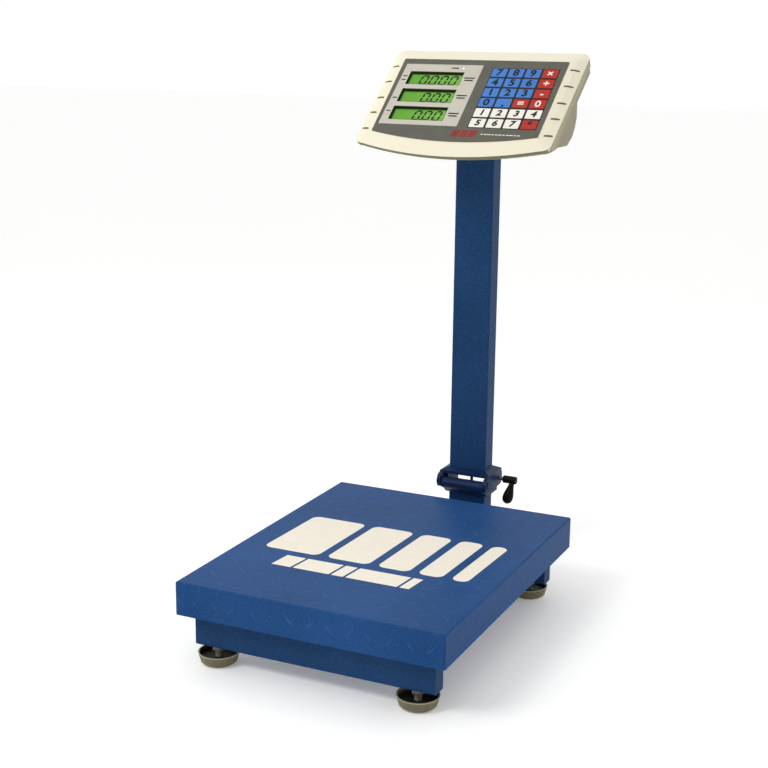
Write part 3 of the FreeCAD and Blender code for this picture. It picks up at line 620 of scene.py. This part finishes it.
# ---------------------------------------------------------------- finishes of the frame's parts
deck_blue = colour(20, 70, 126)
frame_blue = colour(18, 60, 104)
# The rear housing and battery door take the head's pale plastic coloured greyer and darker: painted shade.
housing = moulded_plastic("head_rear", colour(146, 139, 118), colour(166, 158, 136), 0.46, specks=0.15)
black_plastic = moulded_plastic("black_plastic", colour(10, 9, 8), colour(20, 18, 16), 0.38, specular=0.12)
steel = zinc("zinc_plate")
aluminium = zinc("milled_aluminium", (196, 198, 200), (178, 180, 184))
rubber = moulded_plastic("rubber", colour(24, 24, 24), colour(38, 38, 36), 0.75, grain=500, depth=0.0001)
frame_finish = blue_paint("frame_paint", frame_blue)
cast_finish = cast_paint("cast_paint")

finishes = {
    "platform_pan": blue_paint("deck_paint", deck_blue, tread_height=tread_height),
    "hinge_base": cast_finish,
    "hinge_yoke": cast_finish,
    "hinge_pin": cast_finish,
    "head_front_shell": champagne_shell(),
    "head_rear_shell": housing,
    "battery_door": housing,
    "face_panel": panel_print(),
    "lcd_modules": display_glass(),
    "circuit_board": circuit_laminate(),
    "battery": moulded_plastic("battery_case", colour(40, 42, 46), colour(58, 60, 64), 0.5),
    "load_cell": aluminium,
    "pan_pads": rubber,
    "crank_handle": black_plastic,
    "charge_socket": black_plastic,
    "switch_housing": black_plastic,
    "power_rocker": moulded_plastic("rocker_plastic", colour(150, 22, 20), colour(176, 34, 28), 0.3),
}
for node in ("front_beam", "rear_beam", "base_spine", "rear_arm", "lower_post", "pole_tube"):
    finishes[node] = frame_finish
for node in ("spider_front_arm", "spider_rear_arm", "spider_spine", "head_mount"):
    finishes[node] = frame_finish
for node in ("crank_bolt", "cell_base_bolts", "cell_deck_bolts", "foot_nuts", "head_screws"):
    finishes[node] = steel
for node in ("foot_front_left", "foot_front_right", "foot_rear_left", "foot_rear_right"):
    low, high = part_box(node)
    finishes[node] = foot_metal(node + "_metal", ((low[0] + high[0]) / 2, (low[1] + high[1]) / 2))

blue_key = moulded_plastic("blue_key", colour(58, 118, 200), colour(74, 136, 214), 0.40, depth=0.00003)
red_key = moulded_plastic("red_key", colour(178, 38, 28), colour(198, 52, 38), 0.40, depth=0.00003)
white_key = moulded_plastic("white_key", colour(242, 238, 226), colour(252, 249, 240), 0.42, depth=0.00003)
red_keys = ("key_clear", "key_add", "key_tare", "key_store", "key_zero", "key_light")
for key_row in KEY_ROWS:
    for key_name in key_row:
        if key_name in red_keys:
            finishes[key_name] = red_key
        elif key_name.startswith("key_m"):
            finishes[key_name] = white_key
        else:
            finishes[key_name] = blue_key

for node, material in finishes.items():
    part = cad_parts[node]
    part.data.materials.clear()
    part.data.materials.append(material)

# ---------------------------------------------------------------- key legends
dark_ink = printed_ink("dark_ink", colour(18, 20, 26), colour(30, 30, 34))
pale_ink = printed_ink("pale_ink", colour(244, 238, 222), colour(252, 248, 236))
signs = {
    "key_clear": "×",
    "key_add": "+",
    "key_tare": "-",
    "key_store": "=",
    "key_zero": "0",
    "key_light": "*",
}
for row_index, key_row in enumerate(KEY_ROWS):
    for column_index, key_name in enumerate(key_row):
        centre = (key_first_x + column_index * key_pitch_x, key_first_y - row_index * key_pitch_y)
        if key_name in signs:
            text = signs[key_name]
            size = 0.019
            shade = pale_ink
            boldness = 0.0004
        elif key_name == "key_point":
            text = "."
            size = 0.024
            shade = dark_ink
            boldness = 0.0007
        else:
            text = key_name[-1]
            size = 0.0165 if key_name.startswith("key_m") else 0.0195
            shade = dark_ink
            boldness = 0.0007
        if key_name == "key_light":
            shade = dark_ink
        slant = 0.12 if key_name.startswith("key_m") else 0.0
        legend(key_name + "_legend", text, size, centre, shade, key_name, boldness, slant)

# ---------------------------------------------------------------- displays
liquid_crystal = printed_ink("liquid_crystal", colour(6, 22, 6), colour(12, 32, 10), 0.3)
for line, figures in enumerate((4, 3, 3)):
    middle = window_first_y - line * window_pitch - 0.0010
    low = glass_level + 0.00004
    high = low + ink
    strokes = []
    last_x = window_centre_x + window_width / 2 - 0.0136
    for place in range(figures):
        centre = (last_x - place * digit_pitch, middle)
        strokes += display_digit(centre, digit_width, digit_height, digit_stroke, low, high)
    decimals = 3 if figures == 4 else 2
    point_x = last_x - (decimals - 0.5) * digit_pitch - 0.0012
    point_size = (0.0026, 0.0026)
    strokes.append(bar((point_x, middle - 0.0092), point_size, digit_slant, low, high))
    points, faces = joined(strokes)
    piece("display_figures_%d" % (line + 1), placed(points, on_panel), faces, liquid_crystal, "column")

# ---------------------------------------------------------------- small printing on the panel
left_mark_x = -122.2 * MM
left_mark = (7.5 * MM, 2.2 * MM)
right_mark_x = -13.0 * MM
footer_y = -164.0 * MM                  # the middle line of the badge and of the dashes beside it
marks = []
for line, rows in enumerate((2, 0, 1)):
    for step in range(rows):
        mark_y = window_first_y - line * window_pitch + 0.004 - step * 0.0085
        marks.append(bar((left_mark_x, mark_y), left_mark))
marks.append(bar((left_mark_x, window_first_y - window_pitch - 0.006), left_mark))
for line in range(3):
    middle = window_first_y - line * window_pitch
    for step in range(2):
        mark_y = middle + 0.0025 - step * 0.0055
        marks.append(bar((right_mark_x, mark_y), (0.0170 - step * 0.003, 0.0026)))
marks.append(bar((-0.0440, -0.0200), (0.0120, 0.0026)))
points, faces = joined(marks)
piece("panel_marks", placed(points, on_panel), faces, dark_ink, "column")

dashes = []
for step in range(11):
    dashes.append(bar((0.046 + step * 0.0058, footer_y), (0.0036 + 0.0010 * (step % 3), 0.0016)))
points, faces = joined(dashes)
piece("panel_dashes", placed(points, on_panel), faces, pale_ink, "column")

badge_red = printed_ink("badge_red", colour(128, 40, 34), colour(160, 58, 50), 0.4)
stripes = []
for step in range(3):
    stripes.append(rounded_bar((0.004 + step * 0.0135, footer_y), (0.0110, 0.0150), 0.0016, 0.25))
points, faces = joined(stripes)
piece("panel_badge", placed(points, on_panel), faces, badge_red, "column")

# ---------------------------------------------------------------- lamp beside the upper display
def dome(centre, radius, rings=6, spokes=20):
    """A flattened half sphere: radius times cos(fall) wide and half of radius times sin(fall) high."""
    fall = np.linspace(0, math.pi / 2, rings)
    spin = np.linspace(0, 2 * math.pi, spokes, endpoint=False)
    foot = 0.02 * MM
    x = centre[0] + radius * np.cos(fall)[:, None] * np.cos(spin)[None, :]
    y = centre[1] + radius * np.cos(fall)[:, None] * np.sin(spin)[None, :]
    z = np.repeat((foot + radius * 0.5 * np.sin(fall))[:, None], spokes, axis=1)
    sides = np.stack([x, y, z], axis=-1)[:-1].reshape(-1, 3)
    crown = np.array([[centre[0], centre[1], foot + radius * 0.5]])
    faces = []
    for base in range(0, (rings - 2) * spokes, spokes):
        for spoke in range(spokes):
            following = (spoke + 1) % spokes
            above = base + spokes
            faces.append((base + spoke, base + following, above + following, above + spoke))
    last = (rings - 2) * spokes
    for spoke in range(spokes):
        faces.append((last + spoke, last + (spoke + 1) % spokes, last + spokes))
    faces.append(tuple(range(spokes - 1, -1, -1)))
    return np.vstack([sides, crown]), faces


points, faces = dome((-29.9 * MM, -20.3 * MM), 1.6 * MM)
piece("status_lamp", placed(points, on_panel), faces, glowing_lens(), "column", smooth=True)

# ---------------------------------------------------------------- grip ribs on the head's border
# The ribs are coloured dark brown-grey: painted shadow standing for the shade in the grooves across the
# bevel.
rib_painted_shadow = moulded_plastic("rib_painted_shadow", colour(92, 86, 60), colour(114, 106, 78), 0.5)
rim_drop = (10.2 * MM, 5.0 * MM)        # the rim's depth behind the panel at its top and its bottom
rim_half = (160.5 * MM, 157.0 * MM)     # the rim's half width there
rim_start = 31.3 * MM                   # the rim's top is this far above the panel's
rim_reach = 240.3 * MM
crease_x = 147.0 * MM
crease_z = -2.6 * MM
bevel_share = 0.66                      # how far across the bevel a rib reaches
rib_drops = (17.0 * MM, 53.0 * MM, 90.0 * MM, 124.0 * MM, 160.0 * MM)
ribs = []
for down in rib_drops:
    share = (down + rim_start) / rim_reach
    edge_x = rim_half[0] + (rim_half[1] - rim_half[0]) * share
    edge_z = -(rim_drop[0] + (rim_drop[1] - rim_drop[0]) * share)
    outer_x = crease_x + (edge_x - crease_x) * bevel_share
    outer_z = crease_z + (edge_z - crease_z) * bevel_share
    path = [(0.1413, -0.0012), (crease_x, crease_z + 0.0001), (outer_x, outer_z + 0.0001)]
    for side in (-1, 1):
        points, faces = rib([(side * x, z) for x, z in path], 0.0030, 0.0009)
        points[:, 1] += (np.abs(points[:, 0]) - path[0][0]) * 0.25
        if side < 0:
            faces = [tuple(reversed(face)) for face in faces]
        ribs.append((points + np.array([0, -down, 0]), faces))
points, faces = joined(ribs)
piece("grip_ribs", placed(points, on_panel), faces, rib_painted_shadow, "column", smooth=True)

# ---------------------------------------------------------------- printing on the deck
cream = printed_ink("deck_ink", colour(240, 232, 214), colour(250, 243, 228), 0.55)
blocks = []
left = -158.0 * MM
block_gap = 14.0 * MM
block_length = 150.0 * MM
for width in (0.088, 0.066, 0.048, 0.036, 0.024):
    blocks.append(rounded_bar((left + width / 2, 0.000), (width, block_length), 0.011, 0.04))
    left += width + block_gap
points, faces = joined(blocks)
on_deck = Matrix.Translation((0, deck_centre_y, deck_top + 0.00003))
piece("deck_stripes", placed(points, on_deck), faces, cream, "deck")

sections = []
left = -114.0 * MM
section_gap = 4.0 * MM
section_y = -112.0 * MM
for width in (0.030, 0.056, 0.018, 0.078, 0.014):
    sections.append(bar((left + width / 2, section_y), (width, 0.040), 0.10))
    left += width + section_gap
points, faces = joined(sections)
piece("deck_underline", placed(points, on_deck), faces, cream, "deck")

# ---------------------------------------------------------------- stage, light and camera
floor_finish = Finish("studio_floor")
floor_tone = floor_finish.noise(2, 2)
floor_finish.set("Base Color", floor_finish.blend(floor_tone, colour(247, 247, 246), colour(250, 250, 249)))
floor_finish.set("Roughness", 0.7)
floor_finish.set("Emission Color", colour(250, 250, 250))
floor_finish.set("Emission Strength", 0.22)
floor_mesh = bpy.data.meshes.new("studio_floor")
reach = 14.0
corners = [(-reach, -reach, 0), (reach, -reach, 0), (reach, reach, 0), (-reach, reach, 0)]
floor_mesh.from_pydata(corners, [], [(0, 1, 2, 3)])
floor_mesh.materials.append(floor_finish.material)
floor = bpy.data.objects.new("studio_floor", floor_mesh)
bpy.context.scene.collection.objects.link(floor)

world = bpy.data.worlds.new("studio")
world.use_nodes = True
sky = world.node_tree
sky.nodes["Background"].inputs["Color"].default_value = (1.0, 1.0, 1.0, 1.0)
direction = sky.nodes.new("ShaderNodeTexCoord")
towards = sky.nodes.new("ShaderNodeVectorMath")
towards.operation = "DOT_PRODUCT"
towards.inputs[1].default_value = (-0.45, 0.78, 0.44)
sweep = sky.nodes.new("ShaderNodeMapRange")
sweep.interpolation_type = "SMOOTHSTEP"
sweep.inputs["From Min"].default_value = -0.50
sweep.inputs["From Max"].default_value = 0.60
sweep.inputs["To Min"].default_value = dim_side
sweep.inputs["To Max"].default_value = bright_side
sky.links.new(direction.outputs["Generated"], towards.inputs[0])
sky.links.new(towards.outputs["Value"], sweep.inputs["Value"])
sky.links.new(sweep.outputs["Result"], sky.nodes["Background"].inputs["Strength"])
bpy.context.scene.world = world


def softbox(name, place, target, size, power):
    """A square area light that looks at a point."""
    light = bpy.data.lights.new(name, "AREA")
    light.shape = "SQUARE"
    light.size = size
    light.energy = power
    made = bpy.data.objects.new(name, light)
    made.location = place
    made.rotation_euler = (Vector(target) - Vector(place)).to_track_quat("-Z", "Y").to_euler()
    bpy.context.scene.collection.objects.link(made)


softbox("front_light", (-0.9, -1.5, 1.9), (0, 0.2, 0.75), 0.9, 20)
softbox("side_light", (2.6, 0.4, 1.0), (0, 0.1, 0.4), 1.2, 2)

turn = math.radians(25.12)
rise = math.radians(13.96)
roll = math.radians(0.60)
backward = Vector((math.sin(turn) * math.cos(rise), -math.cos(turn) * math.cos(rise), math.sin(rise)))
level_right = Vector((math.cos(turn), math.sin(turn), 0))
level_up = backward.cross(level_right)
right = level_right * math.cos(roll) + level_up * math.sin(roll)
up = level_up * math.cos(roll) - level_right * math.sin(roll)
lens_data = bpy.data.cameras.new("camera")
lens_data.sensor_width = 36.0
lens_data.lens = 67.875
lens_data.clip_end = 60
camera = bpy.data.objects.new("camera", lens_data)
axes = Matrix((right, up, backward)).transposed().to_4x4()
eye = Vector((0.83913, deck_centre_y - 1.80185, deck_top + 0.73893))
camera.matrix_world = Matrix.Translation(eye) @ axes
bpy.context.scene.collection.objects.link(camera)
bpy.context.scene.camera = camera
bpy.context.scene.view_settings.view_transform = "Standard"
bpy.context.scene.view_settings.look = "None"
